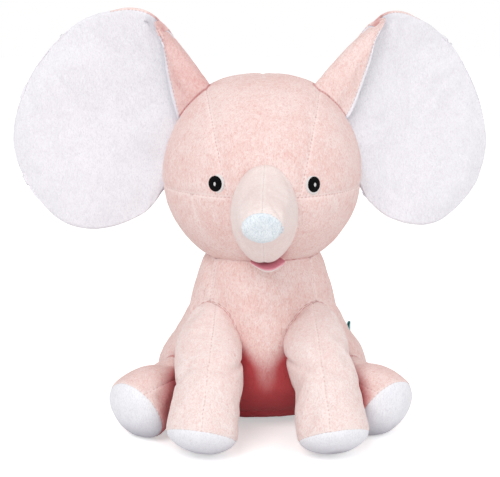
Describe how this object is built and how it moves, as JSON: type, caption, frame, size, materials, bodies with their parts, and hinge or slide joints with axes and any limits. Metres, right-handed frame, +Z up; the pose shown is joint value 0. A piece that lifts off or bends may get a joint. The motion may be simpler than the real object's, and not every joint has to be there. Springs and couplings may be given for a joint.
{
  "type": "stuffed elephant",
  "caption": "Seated plush elephant with big folded ears, a raised trunk, embroidered eyes and stuffed legs.",
  "frame": {"origin": "middle of the flat resting patch under the seat", "axes": "+Z up, the elephant faces -Y, its own left side is +X"},
  "size_m": [0.4202, 0.291, 0.3548],
  "materials": {
    "pink_plush": "short-pile velour, mottled crushed pile",
    "white_plush": "short-pile velour",
    "mouth_cloth": "short-pile velour",
    "black_embroidery_thread": "satin stitch",
    "white_embroidery_thread": "satin stitch",
    "sewing_thread": "twisted thread",
    "polyester_fibre": "loose fibre",
    "pouch_cloth": "plain weave",
    "label_tape": "woven satin ribbon",
    "pellet_plastic": "matte"
  },
  "bodies": {
    "torso": {"bean_pellets": "pellet_plastic", "belly_panel": "pink_plush", "body_back_left_panel": "pink_plush", "body_back_right_panel": "pink_plush", "body_fill": "polyester_fibre", "care_label": "label_tape", "closing_stitches": "sewing_thread", "flank_left_panel": "pink_plush", "flank_right_panel": "pink_plush", "seat_bean_pouch": "pouch_cloth", "seat_panel": "pink_plush"},
    "neck": {"neck_fill": "polyester_fibre", "neck_seam_band": "pink_plush"},
    "head": {"cheek_left_panel": "pink_plush", "cheek_right_panel": "pink_plush", "eye_left": "black_embroidery_thread", "eye_left_glint": "white_embroidery_thread", "eye_right": "black_embroidery_thread", "eye_right_glint": "white_embroidery_thread", "face_left_panel": "pink_plush", "face_right_panel": "pink_plush", "forehead_panel": "pink_plush", "head_back_left_panel": "pink_plush", "head_back_right_panel": "pink_plush", "head_fill": "polyester_fibre", "trunk_root_fill": "polyester_fibre", "trunk_root_left_panel": "pink_plush", "trunk_root_right_panel": "pink_plush"},
    "ear_left": {"ear_left_back_panel": "pink_plush", "ear_left_front_panel": "white_plush", "ear_left_wadding": "polyester_fibre"},
    "ear_right": {"ear_right_back_panel": "pink_plush", "ear_right_front_panel": "white_plush", "ear_right_wadding": "polyester_fibre"},
    "trunk": {"trunk_fill": "polyester_fibre", "trunk_left_panel": "pink_plush", "trunk_right_panel": "pink_plush", "trunk_tip_pad": "white_plush"},
    "lower_lip": {"lower_lip_fill": "polyester_fibre", "lower_lip_panel": "pink_plush", "mouth_lining": "mouth_cloth"},
    "front_leg_left": {"front_leg_left_fill": "polyester_fibre", "front_leg_left_inner_panel": "pink_plush", "front_leg_left_outer_panel": "pink_plush", "front_leg_left_sole_pad": "white_plush"},
    "front_leg_right": {"front_leg_right_fill": "polyester_fibre", "front_leg_right_inner_panel": "pink_plush", "front_leg_right_outer_panel": "pink_plush", "front_leg_right_sole_pad": "white_plush"},
    "hind_leg_left": {"hind_leg_left_fill": "polyester_fibre", "hind_leg_left_inner_panel": "pink_plush", "hind_leg_left_outer_panel": "pink_plush", "hind_leg_left_sole_pad": "white_plush"},
    "hind_leg_right": {"hind_leg_right_fill": "polyester_fibre", "hind_leg_right_inner_panel": "pink_plush", "hind_leg_right_outer_panel": "pink_plush", "hind_leg_right_sole_pad": "white_plush"},
    "tail": {"tail_cover": "pink_plush", "tail_fill": "polyester_fibre", "tail_tuft": "pink_plush"}
  },
  "joints": [
    {"name": "head_nod", "type": "hinge", "parent": "torso", "child": "neck", "pos_m": [0, 0, 0.14], "axis": [1, 0, 0], "range_deg": [-10, 10]},
    {"name": "head_turn", "type": "hinge", "parent": "neck", "child": "head", "pos_m": [0, 0, 0.14], "axis": [0, 0, 1], "range_deg": [-40, 40]},
    {"name": "ear_left_flap", "type": "hinge", "parent": "head", "child": "ear_left", "pos_m": [0.0649, 0.004, 0.24515], "axis": [-0.4102, 0, 0.912], "range_deg": [-22, 25]},
    {"name": "ear_right_flap", "type": "hinge", "parent": "head", "child": "ear_right", "pos_m": [-0.0649, 0.004, 0.24515], "axis": [0.4102, 0, 0.912], "range_deg": [-25, 22]},
    {"name": "trunk_lift", "type": "hinge", "parent": "head", "child": "trunk", "pos_m": [0, -0.104, 0.199], "axis": [-1, 0, 0], "range_deg": [-25, 35]},
    {"name": "lower_lip_drop", "type": "hinge", "parent": "head", "child": "lower_lip", "pos_m": [0, -0.055, 0.152], "axis": [1, 0, 0], "range_deg": [0, 10]},
    {"name": "front_leg_left_swing", "type": "hinge", "parent": "torso", "child": "front_leg_left", "pos_m": [0.043, -0.046, 0.09], "axis": [-1, 0, 0], "range_deg": [0, 60]},
    {"name": "front_leg_right_swing", "type": "hinge", "parent": "torso", "child": "front_leg_right", "pos_m": [-0.043, -0.046, 0.09], "axis": [-1, 0, 0], "range_deg": [0, 60]},
    {"name": "hind_leg_left_spread", "type": "hinge", "parent": "torso", "child": "hind_leg_left", "pos_m": [0.066, -0.02, 0.04], "axis": [0, 0, 1], "range_deg": [0, 25]},
    {"name": "hind_leg_right_spread", "type": "hinge", "parent": "torso", "child": "hind_leg_right", "pos_m": [-0.066, -0.02, 0.04], "axis": [0, 0, -1], "range_deg": [0, 25]},
    {"name": "tail_lift", "type": "hinge", "parent": "torso", "child": "tail", "pos_m": [0, 0.082, 0.058], "axis": [1, 0, 0], "range_deg": [0, 40]}
  ]
}
